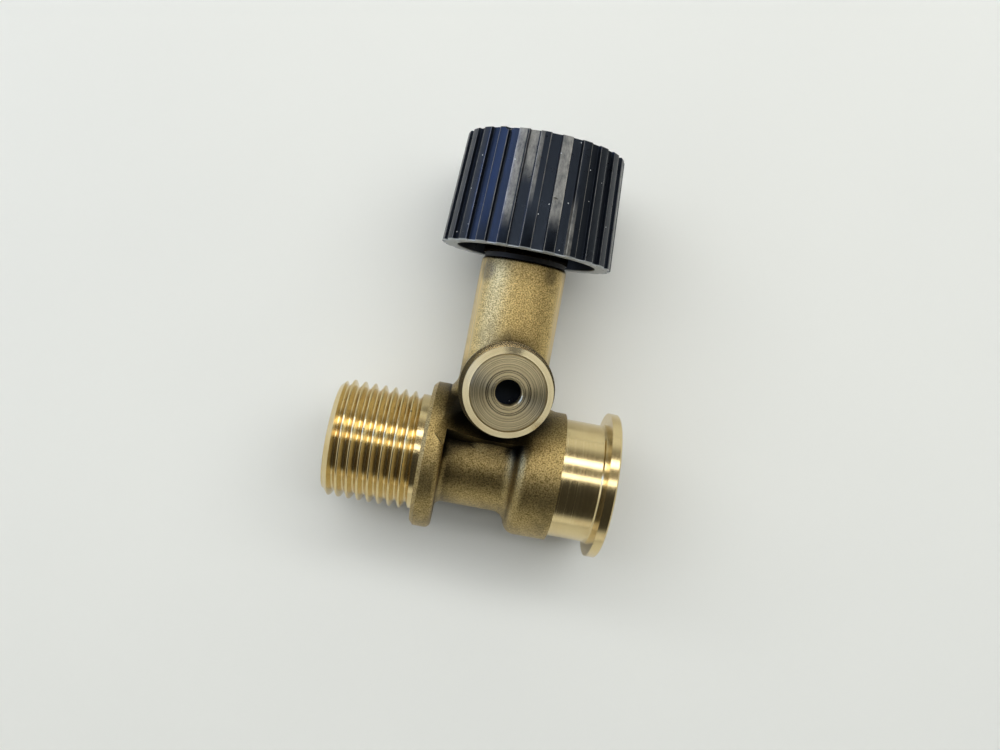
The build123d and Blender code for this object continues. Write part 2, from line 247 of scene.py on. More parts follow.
def drawn_line(name: str, points: Sequence[Vector]) -> bpy.types.Object:
    """Draw a chain of edges through points.

    Args:
        name: name of the new object.
        points: the corners in order.

    Returns:
        The new object.
    """
    bpy.ops.object.select_all(action="DESELECT")
    bpy.ops.mesh.primitive_plane_add(size=MM, location=points[0])
    line = bpy.context.object
    line.name = name
    settle(line)
    with editing(line, Element.VERTEX):
        bpy.ops.mesh.select_all(action="SELECT")
        bpy.ops.mesh.merge(type="CENTER")
        for last, point in zip(points, points[1:]):
            bpy.ops.mesh.extrude_region_move(TRANSFORM_OT_translate={"value": point - last})
    return line


def turned_solid(name: str, outline: Outline, steps: int) -> bpy.types.Object:
    """Spin an open outline, whose ends lie on the stem's axis, into a closed solid.

    Args:
        name: name of the new object.
        outline: pairs of place along the stem and radius.
        steps: facets in the full turn.

    Returns:
        The new object.
    """
    along = Vector(TurnAxis.STEM.value)
    out = Vector(TurnAxis.BOSS.value)
    solid = drawn_line(name, [along * place + out * radius for place, radius in outline])
    with editing(solid, Element.VERTEX):
        bpy.ops.mesh.select_all(action="SELECT")
        bpy.ops.mesh.spin(steps=steps, angle=math.tau, center=(0, 0, 0), axis=along)
    heal(solid)
    return solid


def give(obj: bpy.types.Object, body: str, slot: str, *replaced: str) -> None:
    """Fasten a new piece to its body and hide the imported nodes that it stands for.

    Args:
        obj: the piece.
        body: body that carries it.
        slot: not used.
        replaced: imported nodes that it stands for.
    """
    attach(obj, body)
    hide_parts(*replaced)


def window(tree: Tree, value: Socket, low: float, high: float, fade: float) -> Socket:
    """Mask that is 1 between two values and fades out beyond them.

    Args:
        tree: tree that the nodes go into.
        value: what is compared.
        low: lower end.
        high: upper end.
        fade: width of each fade.

    Returns:
        The mask.
    """
    rise = add_node(tree, "ShaderNodeMapRange", {
        "Value": value, "From Min": low - fade, "From Max": low}, interpolation_type="SMOOTHSTEP")
    fall = add_node(tree, "ShaderNodeMapRange", {
        "Value": value, "From Min": high + fade, "From Max": high}, interpolation_type="SMOOTHSTEP")
    both = add_node(tree, "ShaderNodeMath", {0: rise.outputs[0], 1: fall.outputs[0]}, operation="MULTIPLY")
    return both.outputs[0]


@dataclass(frozen=True)
class Finish:
    """A surface finish: one material made of nodes on the piece's own coordinates."""

    name: str

    def material(self) -> bpy.types.Material:
        """Make the finish's material, unless it was made before.

        Returns:
            The material.
        """
        made = bpy.data.materials.get(self.name)
        if made is None:
            made = bpy.data.materials.new(self.name)
            made.use_nodes = True
            made.node_tree.nodes.clear()
            shader = self.shade(made.node_tree)
            add_node(made.node_tree, "ShaderNodeOutputMaterial", {"Surface": shader.outputs[0]})
        return made

    def shade(self, tree: Tree) -> bpy.types.Node:
        """Build the nodes.

        Args:
            tree: the material's empty node tree.

        Returns:
            The shader node.
        """
        raise NotImplementedError


@dataclass(frozen=True)
class Spot:
    """A small stain, chip or spot of painted shade on a surface."""

    centre: tuple[float, float, float]
    radius: float
    colour: str
    strength: float
    core: float = 0.4

    def lay(self, tree: Tree, place: Socket, under: Socket) -> Socket:
        """Lay the spot over a colour.

        Args:
            tree: the material's node tree.
            place: coordinates on the piece.
            under: colour below the spot.

        Returns:
            The colour with the spot on it.
        """
        away = add_node(tree, "ShaderNodeVectorMath", {0: place, 1: self.centre}, operation="DISTANCE")
        share = add_node(tree, "ShaderNodeMapRange", {
            "Value": away.outputs["Value"], "From Min": self.radius, "From Max": self.core * self.radius,
            "To Max": self.strength}, interpolation_type="SMOOTHSTEP")
        laid = add_node(tree, "ShaderNodeMix", {
            0: share.outputs[0], 6: under, 7: linear(self.colour)}, data_type="RGBA")
        return laid.outputs[2]


@dataclass(frozen=True)
class ForgedBrass(Finish):
    """Hot-forged brass, shot-blasted: tiny dents in olive-gold metal that glitter towards the light."""

    name: str = "forged_brass_blasted"
    hollow_colour: str = "8A7645"
    face_colour: str = "E6CA88"
    tarnish_colour: str = "857752"
    trim_colour: str = "CDBB92"
    # Colour of the painted shade, with some dirt, in the tight hollows
    hollow_shade_colour: str = "191815"
    dent_size: float = 0.23 * MM
    dent_depth: float = 0.075 * MM
    dent_strength: float = 0.8
    grit_size: float = 0.14 * MM
    grit_share: float = 0.35
    grain_span: Span = (0.34, 0.64)
    tarnish_size: float = 6.0 * MM
    tarnish_span: Span = (0.52, 0.72)
    tarnish_share: float = 0.6
    trim_half_width: float = 4.6 * MM
    trim_core: float = 0.7
    trim_line_size: float = 0.3 * MM
    trim_line_draw: float = 0.03
    trim_line_span: Span = (0.35, 0.6)
    pocket_reach: float = 8.0 * MM
    pocket_span: Span = (0.9, 0.48)
    pocket_share: float = 0.97
    pocket_samples: int = 8
    neck_span: Span = (15.0 * MM, 20.0 * MM)
    waist_tone: float = 0.68
    roughness: Span = (0.33, 0.46)
    stains_and_shade_spots: Sequence[Spot] = (
        Spot((-6.2 * MM, 33.6 * MM, 4.2 * MM), 2.6 * MM, "4A4A48", 0.6),
        Spot((4.6 * MM, 34.4 * MM, 5.8 * MM), 2.0 * MM, "4E4432", 0.5),
        # The four near-black spots below are painted shade in the deep pocket between the boss, the collar
        # and the barrel
        Spot((-7.0 * MM, 7.3 * MM, 7.6 * MM), 4.0 * MM, "100F0D", 0.95),
        Spot((-0.3 * MM, 6.4 * MM, 8.0 * MM), 3.4 * MM, "100F0D", 0.92),
        Spot((5.2 * MM, 4.5 * MM, 8.0 * MM), 2.6 * MM, "100F0D", 0.9),
        Spot((-8.0 * MM, 2.0 * MM, 8.6 * MM), 2.0 * MM, "100F0D", 0.85),
    )

    def shade(self, tree: Tree) -> bpy.types.Node:
        """Build the nodes.

        Args:
            tree: the material's empty node tree.

        Returns:
            The shader node.
        """
        place = add_node(tree, "ShaderNodeTexCoord", {}).outputs["Object"]
        parts = add_node(tree, "ShaderNodeSeparateXYZ", {"Vector": place})
        dents = add_node(tree, "ShaderNodeTexNoise", {
            "Vector": place, "Scale": 1 / self.dent_size, "Detail": 2.0, "Roughness": 0.55})
        grit = add_node(tree, "ShaderNodeTexVoronoi", {"Vector": place, "Scale": 1 / self.grit_size})
        tarnish = add_node(tree, "ShaderNodeTexNoise", {
            "Vector": place, "Scale": 1 / self.tarnish_size, "Detail": 4.0, "Roughness": 0.6})
        height = add_node(tree, "ShaderNodeMath", {
            0: grit.outputs["Distance"], 1: self.grit_share, 2: dents.outputs["Fac"],
        }, operation="MULTIPLY_ADD")
        # Trimmed flash: fine lines along the stem where the two dies met, level with the run's axis
        offset = add_node(tree, "ShaderNodeMath", {0: parts.outputs["Z"]}, operation="ABSOLUTE")
        near_seam = add_node(tree, "ShaderNodeMapRange", {
            "Value": offset.outputs[0], "From Min": self.trim_half_width,
            "From Max": self.trim_core * self.trim_half_width}, interpolation_type="SMOOTHSTEP")
        on_neck = add_node(tree, "ShaderNodeMapRange", {
            "Value": parts.outputs["Y"], "From Min": self.neck_span[0], "From Max": self.neck_span[1]},
            interpolation_type="SMOOTHSTEP")
        trimmed = add_node(tree, "ShaderNodeMath", {
            0: near_seam.outputs[0], 1: on_neck.outputs[0]}, operation="MULTIPLY")
        drawn = add_node(tree, "ShaderNodeMapping", {
            "Vector": place, "Scale": (1.0, self.trim_line_draw, 1.0)})
        lines = add_node(tree, "ShaderNodeTexNoise", {
            "Vector": drawn.outputs[0], "Scale": 1 / self.trim_line_size, "Detail": 1.0})
        relief = add_node(tree, "ShaderNodeMix", {
            0: trimmed.outputs[0], 2: height.outputs[0], 3: lines.outputs["Fac"]})
        grain = add_node(tree, "ShaderNodeMapRange", {
            "Value": dents.outputs["Fac"], "From Min": self.grain_span[0], "From Max": self.grain_span[1]})
        blasted = add_node(tree, "ShaderNodeMix", {
            0: grain.outputs[0], 6: linear(self.hollow_colour), 7: linear(self.face_colour),
        }, data_type="RGBA")
        stripes = add_node(tree, "ShaderNodeMapRange", {
            "Value": lines.outputs["Fac"], "From Min": self.trim_line_span[0],
            "From Max": self.trim_line_span[1]})
        streaked = add_node(tree, "ShaderNodeMix", {
            0: stripes.outputs[0], 6: linear(self.face_colour), 7: linear(self.trim_colour),
        }, data_type="RGBA")
        bare = add_node(tree, "ShaderNodeMix", {
            0: trimmed.outputs[0], 6: blasted.outputs[2], 7: streaked.outputs[2]}, data_type="RGBA")
        patches = add_node(tree, "ShaderNodeMapRange", {
            "Value": tarnish.outputs["Fac"], "From Min": self.tarnish_span[0],
            "From Max": self.tarnish_span[1], "To Max": self.tarnish_share})
        stained = add_node(tree, "ShaderNodeMix", {
            0: patches.outputs[0], 6: bare.outputs[2], 7: linear(self.tarnish_colour)}, data_type="RGBA")
        # Painted shade, with some dirt, in the tight hollows where the ambient occlusion finds little open
        # sky; and the colour darker below the neck
        open_sky = add_node(tree, "ShaderNodeAmbientOcclusion", {"Distance": self.pocket_reach},
                            samples=self.pocket_samples)
        pocket = add_node(tree, "ShaderNodeMapRange", {
            "Value": open_sky.outputs["AO"], "From Min": self.pocket_span[0],
            "From Max": self.pocket_span[1], "To Max": self.pocket_share}, interpolation_type="SMOOTHSTEP")
        tone = add_node(tree, "ShaderNodeMapRange", {
            "Value": on_neck.outputs[0], "To Min": self.waist_tone, "To Max": 1.0})
        darker_below_neck = add_node(tree, "ShaderNodeVectorMath", {
            0: stained.outputs[2], "Scale": tone.outputs[0]}, operation="SCALE")
        shaded_hollows = add_node(tree, "ShaderNodeMix", {
            0: pocket.outputs[0], 6: darker_below_neck.outputs[0], 7: linear(self.hollow_shade_colour)}, data_type="RGBA")
        colour = shaded_hollows.outputs[2]
        # Lay the real stains, and the spots of painted shade round the boss
        for laid_spot in self.stains_and_shade_spots:
            colour = laid_spot.lay(tree, place, colour)
        gloss = add_node(tree, "ShaderNodeMapRange", {
            "Value": tarnish.outputs["Fac"], "From Min": NOISE_SPAN[0], "From Max": NOISE_SPAN[1],
            "To Min": self.roughness[0], "To Max": self.roughness[1]})
        bump = add_node(tree, "ShaderNodeBump", {
            "Height": relief.outputs[0], "Strength": self.dent_strength, "Distance": self.dent_depth})
        return add_node(tree, "ShaderNodeBsdfPrincipled", {
            "Base Color": colour, "Metallic": 1.0, "Roughness": gloss.outputs[0],
            "Normal": bump.outputs[0]})


@dataclass(frozen=True)
class TurnedBrass(Finish):
    """Free-cutting brass off the lathe: bright straw gold, with fine tool marks round the turning axis."""

    name: str = "turned_brass_run"
    axis: TurnAxis = TurnAxis.RUN
    centre: tuple[float, float, float] = (0.0, 0.0, 0.0)
    colour: str = "DFCA96"
    stain_colour: str = "B9935A"
    mark_size: float = 0.11 * MM
    mark_depth: float = 0.0012 * MM
    mark_tone: float = 0.1
    stain_size: float = 5.0 * MM
    stain_span: Span = (0.5, 0.75)
    stain_share: float = 0.35
    roughness: float = 0.15
    roughness_spread: Span = (0.7, 1.4)
    stretch: float = 0.5
    stretch_turn: float = 0.25
    spots: Sequence[Spot] = ()

    def shade(self, tree: Tree) -> bpy.types.Node:
        """Build the nodes.

        Args:
            tree: the material's empty node tree.

        Returns:
            The shader node.
        """
        place = add_node(tree, "ShaderNodeTexCoord", {}).outputs["Object"]
        axis = self.axis.value
        centred = add_node(tree, "ShaderNodeVectorMath", {0: place, 1: self.centre}, operation="SUBTRACT")
        along = add_node(tree, "ShaderNodeVectorMath", {
            0: centred.outputs[0], 1: axis}, operation="DOT_PRODUCT")
        round_axis = add_node(tree, "ShaderNodeVectorMath", {
            0: axis, 1: centred.outputs[0]}, operation="CROSS_PRODUCT")
        radius = add_node(tree, "ShaderNodeVectorMath", {0: round_axis.outputs[0]}, operation="LENGTH")
        # Real tool marks lie about 0.1 mm apart; on faces where they would vanish they are drawn coarser
        rings = add_node(tree, "ShaderNodeCombineXYZ", {
            "X": along.outputs["Value"], "Y": radius.outputs["Value"]})
        marks = add_node(tree, "ShaderNodeTexNoise", {
            "Vector": rings.outputs[0], "Scale": 1 / self.mark_size, "Detail": 3.0, "Roughness": 0.7})
        stain = add_node(tree, "ShaderNodeTexNoise", {
            "Vector": place, "Scale": 1 / self.stain_size, "Detail": 3.0})
        patches = add_node(tree, "ShaderNodeMapRange", {
            "Value": stain.outputs["Fac"], "From Min": self.stain_span[0],
            "From Max": self.stain_span[1], "To Max": self.stain_share})
        stained = add_node(tree, "ShaderNodeMix", {
            0: patches.outputs[0], 6: linear(self.colour), 7: linear(self.stain_colour)}, data_type="RGBA")
        depth = add_node(tree, "ShaderNodeMapRange", {
            "Value": marks.outputs["Fac"], "From Min": NOISE_SPAN[0], "From Max": NOISE_SPAN[1],
            "To Min": 1 - self.mark_tone, "To Max": 1.0})
        lined = add_node(tree, "ShaderNodeVectorMath", {
            0: stained.outputs[2], "Scale": depth.outputs[0]}, operation="SCALE")
        colour = lined.outputs[0]
        for spot in self.spots:
            colour = spot.lay(tree, place, colour)
        low, high = self.roughness_spread
        gloss = add_node(tree, "ShaderNodeMapRange", {
            "Value": marks.outputs["Fac"], "From Min": NOISE_SPAN[0], "From Max": NOISE_SPAN[1],
            "To Min": low * self.roughness, "To Max": high * self.roughness})
        bump = add_node(tree, "ShaderNodeBump", {
            "Height": marks.outputs["Fac"], "Strength": 1.0, "Distance": self.mark_depth})
        return add_node(tree, "ShaderNodeBsdfPrincipled", {
            "Base Color": colour, "Metallic": 1.0, "Roughness": gloss.outputs[0],
            "Anisotropic": self.stretch, "Anisotropic Rotation": self.stretch_turn,
            "Tangent": round_axis.outputs[0], "Normal": bump.outputs[0]})


@dataclass(frozen=True)
class Scuff:
    """A band of dust and wear on the knob: two angles from the boss's side and two heights above the rim."""

    start_deg: float
    end_deg: float
    low: float
    high: float
    strength: float


@dataclass(frozen=True)
class MouldedBlack(Finish):
    """Moulded black nylon, half-gloss: faint streaks up the ribs, greyed worn bands and pale grit, with a
    painted highlight on the rib edges and a painted reflection on the rim.
    """

    name: str = "moulded_black_nylon"
    colour: str = "090C11"
    scuff_colour: str = "1E2226"
    rubbed_and_highlight_colour: str = "A8A69E"
    speck_colour: str = "C8CBCC"
    # Pale grey of the painted reflection of the table top on the rim's lowest edge
    rim_reflection_colour: str = "C4CACC"
    sheen_tint: str = "CFE2FF"
    sheen: float = 0.34
    refraction: float = 1.53
    roughness: Span = (0.26, 0.42)
    roughness_span: Span = (0.35, 0.7)
    streak_size: float = 0.5 * MM
    streak_draw: float = 0.12
    streak_strength: float = 0.7
    skin_depth: float = 0.006 * MM
    scuff_size: float = 2.2 * MM
    scuff_span: Span = (0.55, 0.75)
    scuff_share: float = 0.4
    mottle_size: float = 0.8 * MM
    mottle_draw: float = 0.45
    mottle_span: Span = (0.18, 0.6)
    speck_size: float = 2.0 * MM
    speck_share: float = 0.05
    rim_height: float = 0.0
    rim_width: float = 0.22 * MM
    rim_core: float = 0.3
    rim_reflection_share: float = 0.8
    rib_pitch: float = math.tau / 24
    rib_phase: float = 0.0
    edge_share: float = 0.018
    edge_wear_and_highlight: float = 0.4
    skirt_radius: float = 13.1 * MM
    band_fade_angle: float = 0.014
    band_fade_height: float = 5.0 * MM
    scuffs: Sequence[Scuff] = ()

    def rubbed_and_highlit(self, tree: Tree, place: Socket) -> Socket:
        """Mask of the worn bands and of the rib edges, whose pale lines are partly wear and partly a painted
        highlight.

        Args:
            tree: the material's node tree.
            place: coordinates on the piece.

        Returns:
            The mask.
        """
        parts = add_node(tree, "ShaderNodeSeparateXYZ", {"Vector": place})
        angle = add_node(tree, "ShaderNodeMath", {
            0: parts.outputs["X"], 1: parts.outputs["Z"]}, operation="ARCTAN2").outputs[0]
        drawn = add_node(tree, "ShaderNodeMapping", {"Vector": place, "Scale": (1.0, self.mottle_draw, 1.0)})
        mottle = add_node(tree, "ShaderNodeTexNoise", {
            "Vector": drawn.outputs[0], "Scale": 1 / self.mottle_size, "Detail": 5.0, "Roughness": 0.7})
        patchy = add_node(tree, "ShaderNodeMapRange", {
            "Value": mottle.outputs["Fac"], "From Min": self.mottle_span[0],
            "From Max": self.mottle_span[1]})
        turn = add_node(tree, "ShaderNodeMath", {
            0: angle, 1: 1 / self.rib_pitch, 2: -self.rib_phase / self.rib_pitch}, operation="MULTIPLY_ADD")
        share = add_node(tree, "ShaderNodeMath", {0: turn.outputs[0], 1: 0.5}, operation="PINGPONG")
        # The rib edges are lightened partly as wear and partly as a painted highlight
        corner = GROOVE_SHARE + self.edge_share
        edges = window(tree, share.outputs[0], corner, corner + self.edge_share, self.edge_share / 2)
        total = add_node(tree, "ShaderNodeMath", {
            0: edges, 1: self.edge_wear_and_highlight}, operation="MULTIPLY").outputs[0]
        for scuff in self.scuffs:
            start, end = math.radians(scuff.start_deg), math.radians(scuff.end_deg)
            across = window(tree, angle, start, end, self.band_fade_angle)
            low, high = self.rim_height + scuff.low, self.rim_height + scuff.high
            upward = window(tree, parts.outputs["Y"], low, high, self.band_fade_height)
            band = add_node(tree, "ShaderNodeMath", {0: across, 1: upward}, operation="MULTIPLY")
            total = add_node(tree, "ShaderNodeMath", {
                0: band.outputs[0], 1: scuff.strength, 2: total}, operation="MULTIPLY_ADD").outputs[0]
        flat = add_node(tree, "ShaderNodeCombineXYZ", {"X": parts.outputs["X"], "Y": parts.outputs["Z"]})
        from_axis = add_node(tree, "ShaderNodeVectorMath", {0: flat.outputs[0]}, operation="LENGTH")
        on_skirt = add_node(tree, "ShaderNodeMath", {
            0: from_axis.outputs["Value"], 1: self.skirt_radius}, operation="GREATER_THAN")
        outside = add_node(tree, "ShaderNodeMath", {0: total, 1: on_skirt.outputs[0]}, operation="MULTIPLY")
        mask = add_node(tree, "ShaderNodeMath", {
            0: outside.outputs[0], 1: patchy.outputs[0]}, operation="MULTIPLY")
        return mask.outputs[0]

    def shade(self, tree: Tree) -> bpy.types.Node:
        """Build the nodes.

        Args:
            tree: the material's empty node tree.

        Returns:
            The shader node.
        """
        place = add_node(tree, "ShaderNodeTexCoord", {}).outputs["Object"]
        parts = add_node(tree, "ShaderNodeSeparateXYZ", {"Vector": place})
        drawn = add_node(tree, "ShaderNodeMapping", {"Vector": place, "Scale": (1.0, self.streak_draw, 1.0)})
        streaks = add_node(tree, "ShaderNodeTexNoise", {
            "Vector": drawn.outputs[0], "Scale": 1 / self.streak_size, "Detail": 3.0, "Roughness": 0.65})
        blotches = add_node(tree, "ShaderNodeTexNoise", {
            "Vector": place, "Scale": 1 / self.scuff_size, "Detail": 5.0, "Roughness": 0.7})
        worn = add_node(tree, "ShaderNodeMapRange", {
            "Value": blotches.outputs["Fac"], "From Min": self.scuff_span[0],
            "From Max": self.scuff_span[1], "To Max": self.scuff_share})
        scuffed = add_node(tree, "ShaderNodeMix", {
            0: worn.outputs[0], 6: linear(self.colour), 7: linear(self.scuff_colour)}, data_type="RGBA")
        # Pale where worn, and on the rib edges partly as a painted highlight
        dusty_and_highlit = add_node(tree, "ShaderNodeMix", {
            0: self.rubbed_and_highlit(tree, place), 6: scuffed.outputs[2], 7: linear(self.rubbed_and_highlight_colour),
        }, data_type="RGBA")
        grit = add_node(tree, "ShaderNodeTexVoronoi", {"Vector": place, "Scale": 1 / self.speck_size})
        dots = add_node(tree, "ShaderNodeMath", {
            0: grit.outputs["Distance"], 1: self.speck_share}, operation="LESS_THAN")
        specked = add_node(tree, "ShaderNodeMix", {
            0: dots.outputs[0], 6: dusty_and_highlit.outputs[2], 7: linear(self.speck_colour)}, data_type="RGBA")
        # The bottom of the rim: a painted reflection of the pale table top that it stands on
        floor_reflection = add_node(tree, "ShaderNodeMapRange", {
            "Value": parts.outputs["Y"], "From Min": self.rim_height + self.rim_width,
            "From Max": self.rim_height + self.rim_core * self.rim_width, "To Max": self.rim_reflection_share})
        colour = add_node(tree, "ShaderNodeMix", {
            0: floor_reflection.outputs[0], 6: specked.outputs[2], 7: linear(self.rim_reflection_colour)}, data_type="RGBA")
        gloss = add_node(tree, "ShaderNodeMapRange", {
            "Value": blotches.outputs["Fac"], "From Min": self.roughness_span[0],
            "From Max": self.roughness_span[1], "To Min": self.roughness[0], "To Max": self.roughness[1]})
        bump = add_node(tree, "ShaderNodeBump", {
            "Height": streaks.outputs["Fac"], "Strength": self.streak_strength, "Distance": self.skin_depth})
        return add_node(tree, "ShaderNodeBsdfPrincipled", {
            "Base Color": colour.outputs[2], "Roughness": gloss.outputs[0], "IOR": self.refraction,
            "Specular IOR Level": self.sheen, "Specular Tint": linear(self.sheen_tint),
            "Normal": bump.outputs[0]})


@dataclass(frozen=True)
class Speckled(Finish):
    """Plain moulded or ground stock whose only pattern is a soft unevenness of tone and sheen."""

    name: str = "nitrile_rubber"
    colour: str = "141414"
    other_colour: str = "242424"
    patch_size: float = 0.6 * MM
    roughness: Span = (0.5, 0.7)
    metallic: float = 0.0

    def shade(self, tree: Tree) -> bpy.types.Node:
        """Build the nodes.

        Args:
            tree: the material's empty node tree.

        Returns:
            The shader node.
        """
        place = add_node(tree, "ShaderNodeTexCoord", {}).outputs["Object"]
        patches = add_node(tree, "ShaderNodeTexNoise", {
            "Vector": place, "Scale": 1 / self.patch_size, "Detail": 4.0})
        colour = add_node(tree, "ShaderNodeMix", {
            0: patches.outputs["Fac"], 6: linear(self.colour), 7: linear(self.other_colour),
        }, data_type="RGBA")
        gloss = add_node(tree, "ShaderNodeMapRange", {
            "Value": patches.outputs["Fac"], "To Min": self.roughness[0], "To Max": self.roughness[1]})
        return add_node(tree, "ShaderNodeBsdfPrincipled", {
            "Base Color": colour.outputs[2], "Metallic": self.metallic, "Roughness": gloss.outputs[0]})


STEM_BRASS = TurnedBrass("turned_brass_stem", TurnAxis.STEM)
RUBBER = Speckled()
STEEL = Speckled("zinc_plated_steel", "C9CBCC", "A9ABAD", 0.8 * MM, (0.2, 0.38), 1.0)


@dataclass
class ValveBody:
    """The forged tee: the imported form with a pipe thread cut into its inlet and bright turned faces."""

    thread_pitch: float = 1.814 * MM
    thread_depth: float = 1.162 * MM
    flank_angle: float = math.radians(27.5)
    crest_angle: float = math.radians(25)
    bend_radius: float = 0.249 * MM
    bend_steps: int = 4
    tool_rise: float = 0.5 * MM
    tool_gap: float = 0.012 * MM
    run_out_steps: int = 26
    thread_phase: float = -1.18
    land_width: float = 1.6 * MM
    barrel_end: float = 12.3 * MM
    relief_floor: float = 8.1 * MM
    boss_root_radius: float = 7.95 * MM
    run_bore_radius: float = 7.3 * MM
    socket_radius: float = 9.0 * MM
    stem_bore_radius: float = 6.2 * MM
    seat_height: float = 5.0 * MM
    tolerance: float = 0.02 * MM
    facets_per_turn: int = 128
    forged: Finish = ForgedBrass()
    thread_spots: Sequence[Spot] = (
        Spot((-19.05 * MM, 6.71 * MM, 8.05 * MM), 0.26 * MM, "1C1408", 0.95),
        Spot((-17.69 * MM, 6.79 * MM, 7.97 * MM), 0.32 * MM, "1C1408", 0.95),
        Spot((-14.6 * MM, 7.4 * MM, 7.2 * MM), 0.3 * MM, "2A1E0C", 0.8),
        Spot((-14.0 * MM, -1.3 * MM, 10.3 * MM), 0.45 * MM, "F6D489", 0.9),
    )

    def __post_init__(self) -> None:
        """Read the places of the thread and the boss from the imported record."""
        mounts = {mount["name"]: mount for mount in frame["record"]["mounts"]}
        thread = mounts["inlet_thread"]
        self.thread_radius = thread["dims"]["r_mm"] * MM
        self.thread_inner = thread["pos_m"][0] + thread["dims"]["length_mm"] * MM / 2
        self.thread_start = self.thread_inner - self.thread_pitch * (0.5 + self.thread_phase)
        self.collar_face = self.thread_inner + self.land_width
        self.inlet_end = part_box("valve_body")[0].x
        self.boss_centre = Vector(mounts["boss_spigot"]["pos_m"][:2] + [0.0])

    def thread_outline(self) -> list[Vector]:
        """Outline of the space between two crests: a round root, straight flanks and eased crests.

        Returns:
            The corners of a closed outline at the thread's start.
        """
        top, bend, half_pitch = self.thread_radius, self.bend_radius, self.thread_pitch / 2
        root = top - self.thread_depth
        flank = math.pi / 2 - self.flank_angle
        side = []
        for step in range(self.bend_steps + 1):
            turn = flank * step / self.bend_steps
            side.append((bend * math.sin(turn), root + bend * (1 - math.cos(turn))))
        for step in range(self.bend_steps):
            turn = flank + (self.crest_angle - flank) * step / (self.bend_steps - 1)
            side.append((half_pitch - bend * math.sin(turn), top - bend * (1 - math.cos(turn))))
        edge = half_pitch - self.tool_gap
        side += [(edge, top + self.tolerance), (edge, top + self.tool_rise)]
        around = [(-half, radius) for half, radius in reversed(side)] + side[1:]
        around.append(around[0])
        return [Vector((self.thread_start + half, radius, 0)) for half, radius in around]

    def thread_tool(self) -> bpy.types.Object:
        """Model the space between the threads.

        Returns:
            A closed right-handed helix that starts with a run-out at the land and ends outside the inlet.
        """
        tool = drawn_line("thread_tool", self.thread_outline())
        heal(tool)
        make_active(tool)
        screw = tool.modifiers.new("helix", "SCREW")
        screw.axis = "X"
        screw.angle = -math.tau
        screw.screw_offset = -self.thread_pitch
        screw.iterations = math.ceil((self.thread_start - self.inlet_end) / self.thread_pitch) + 1
        screw.steps = screw.render_steps = self.facets_per_turn
        screw.use_merge_vertices = True
        bpy.ops.object.modifier_apply(modifier=screw.name)
        with editing(tool, Element.EDGE):
            bpy.ops.mesh.select_all(action="SELECT")
            bpy.ops.mesh.fill_holes(sides=0)
        self.lift_start(tool)
        heal(tool)
        return tool

    def lift_start(self, tool: bpy.types.Object) -> None:
        """Lift the first sections of the thread's space step by step, so that the thread runs out gently.

        Args:
            tool: the helical solid.
        """
        step_angle = math.tau / self.facets_per_turn
        for step in range(self.run_out_steps):
            turn = -step * step_angle
            middle = self.thread_start - self.thread_pitch * step / self.facets_per_turn
            out = Vector((0, math.cos(turn), math.sin(turn)))
            lift = (self.thread_depth + self.tolerance) * (1 - step / self.run_out_steps)

            def in_section(vertex: bmesh.types.BMVert) -> bool:
                """Say whether a point belongs to this section of the helix."""
                across = Vector((0, vertex.co.y, vertex.co.z)).angle(out)
                return abs(vertex.co.x - middle) < self.thread_pitch / 2 and across < step_angle / 4

            with editing(tool, Element.VERTEX) as mesh:
                pick(tool, mesh.verts, in_section)
                bpy.ops.transform.translate(value=out * lift)

    def finish_at(self, centre: Vector, normal: Vector) -> int:
        """Choose the finish of a face by its place.

        Args:
            centre: middle of the face.
            normal: its outward direction.

        Returns:
            Number of the material slot: 0 forged, 1 turned on the run, 2 on the boss, 3 on the stem.
        """
        near = self.tolerance
        from_boss = (centre.xy - self.boss_centre.xy).length
        from_run = math.hypot(centre.y, centre.z)
        inward = normal.yz.dot(centre.yz) < 0
        if centre.x < self.collar_face + near or centre.x > self.barrel_end - near:
            return 1
        if centre.z > self.relief_floor - near and from_boss < self.boss_root_radius + near:
            return 2
        if inward and from_run < (self.socket_radius if centre.x > 0 else self.run_bore_radius):
            return 1
        if math.hypot(centre.x, centre.z) < self.stem_bore_radius and centre.y > self.seat_height:
            return 3
        return 0

    def build(self) -> bpy.types.Object:
        """Model and dress the tee.

        Returns:
            The finished piece.
        """
        body = merged_copy("valve_body", "forged_tee")
        combine(body, self.thread_tool(), Cut.AWAY)
        heal(body)
        smooth(body)
        boss = tuple(self.boss_centre)
        finishes = [
            self.forged,
            TurnedBrass(roughness=0.2, spots=self.thread_spots),
            TurnedBrass("turned_brass_boss", TurnAxis.BOSS, boss, "EEDDB2", mark_size=0.16 * MM,
                        mark_tone=0.3),
            STEM_BRASS,
        ]
        for finish in finishes:
            body.data.materials.append(finish.material())
        for face in body.data.polygons:
            face.material_index = self.finish_at(face.center, face.normal)
        give(body, "body", "forged_brass", "valve_body")
        return body


@dataclass(frozen=True)
class Nick:
    """A small dent in the knob's skirt, at an angle from the boss's side and a height above the rim."""

    angle_deg: float
    height: float
    depth: float
    width: float


